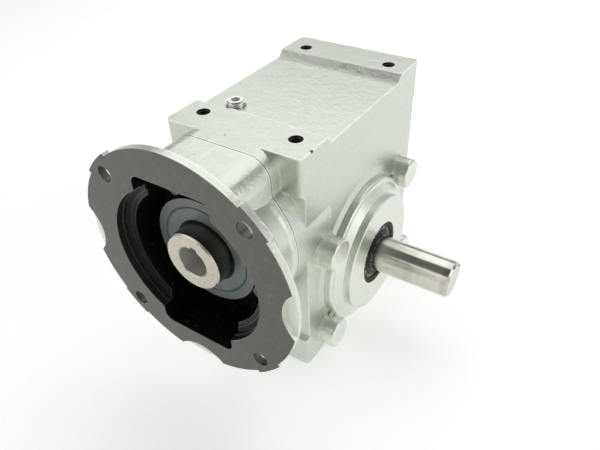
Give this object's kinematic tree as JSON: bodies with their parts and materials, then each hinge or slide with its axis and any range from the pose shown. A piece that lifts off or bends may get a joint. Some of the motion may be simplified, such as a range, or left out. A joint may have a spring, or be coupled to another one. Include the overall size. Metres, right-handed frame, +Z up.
{
  "type": "worm gearbox",
  "caption": "Right-angle worm speed reducer with a C-face motor adapter, a hollow keyed input quill, feet above and below, and a solid output shaft on one side.",
  "frame": {"origin": "centre of the lower feet's mounting plane, under the output axis", "axes": "+X along the output shaft, -Y towards the motor, +Z up"},
  "size_m": [0.2115, 0.221, 0.2028],
  "materials": {
    "case_paint": "satin silver-grey paint over cast iron",
    "adapter_paint": "satin silver-grey paint, machined face in front",
    "gasket": "compressed fibre",
    "quill_steel": "turned and ground",
    "shaft_steel": "ground and polished",
    "bronze": "machined bronze",
    "iron": "machined",
    "seal_rubber": "smooth black",
    "seal_steel": "pressed sheet",
    "zinc": "zinc plated",
    "cage_brass": "pressed",
    "plain_steel": "ground"
  },
  "bodies": {
    "case": {"housing": "case_paint", "motor_adapter": "adapter_paint", "adapter_gasket": "gasket", "adapter_screws": "plain_steel", "input_seal_case": "seal_steel", "input_seal_lip": "seal_rubber", "front_bearing_outer_ring": "plain_steel", "rear_bearing_outer_ring": "plain_steel", "bore_ring": "plain_steel", "rear_cap": "case_paint", "output_cover": "case_paint", "closed_cover": "case_paint", "cover_gasket_right": "gasket", "cover_gasket_left": "gasket", "cover_screws_right": "plain_steel", "cover_screws_left": "plain_steel", "cover_caps_right": "case_paint", "cover_caps_left": "case_paint", "output_seal_case": "seal_rubber", "output_seal_lip": "seal_rubber", "right_bearing_outer_ring": "plain_steel", "left_bearing_outer_ring": "plain_steel", "fill_plug": "zinc", "drain_plug": "zinc"},
    "output": {"output_shaft": "shaft_steel", "wheel_hub": "iron", "worm_wheel": "bronze", "wheel_key": "plain_steel", "spacer_right": "plain_steel", "spacer_left": "plain_steel", "right_bearing_inner_ring": "plain_steel", "right_bearing_balls": "plain_steel", "right_bearing_cage": "cage_brass", "left_bearing_inner_ring": "plain_steel", "left_bearing_balls": "plain_steel", "left_bearing_cage": "cage_brass"},
    "worm": {"worm_shaft": "quill_steel", "shaft_ring": "plain_steel", "front_bearing_inner_ring": "plain_steel", "front_bearing_balls": "plain_steel", "front_bearing_cage": "cage_brass", "rear_bearing_inner_ring": "plain_steel", "rear_bearing_balls": "plain_steel", "rear_bearing_cage": "cage_brass"}
  },
  "joints": [
    {"name": "output_spin", "type": "hinge", "parent": "case", "child": "output", "pos_m": [0, 0, 0.06], "axis": [1, 0, 0], "continuous": true},
    {"name": "worm_spin", "type": "hinge", "parent": "case", "child": "worm", "pos_m": [0, 0, 0.12033], "axis": [0, 1, 0], "continuous": true}
  ],
  "couplings": [
    {"joint": "worm_spin", "follows": "output_spin", "ratio": 30}
  ]
}
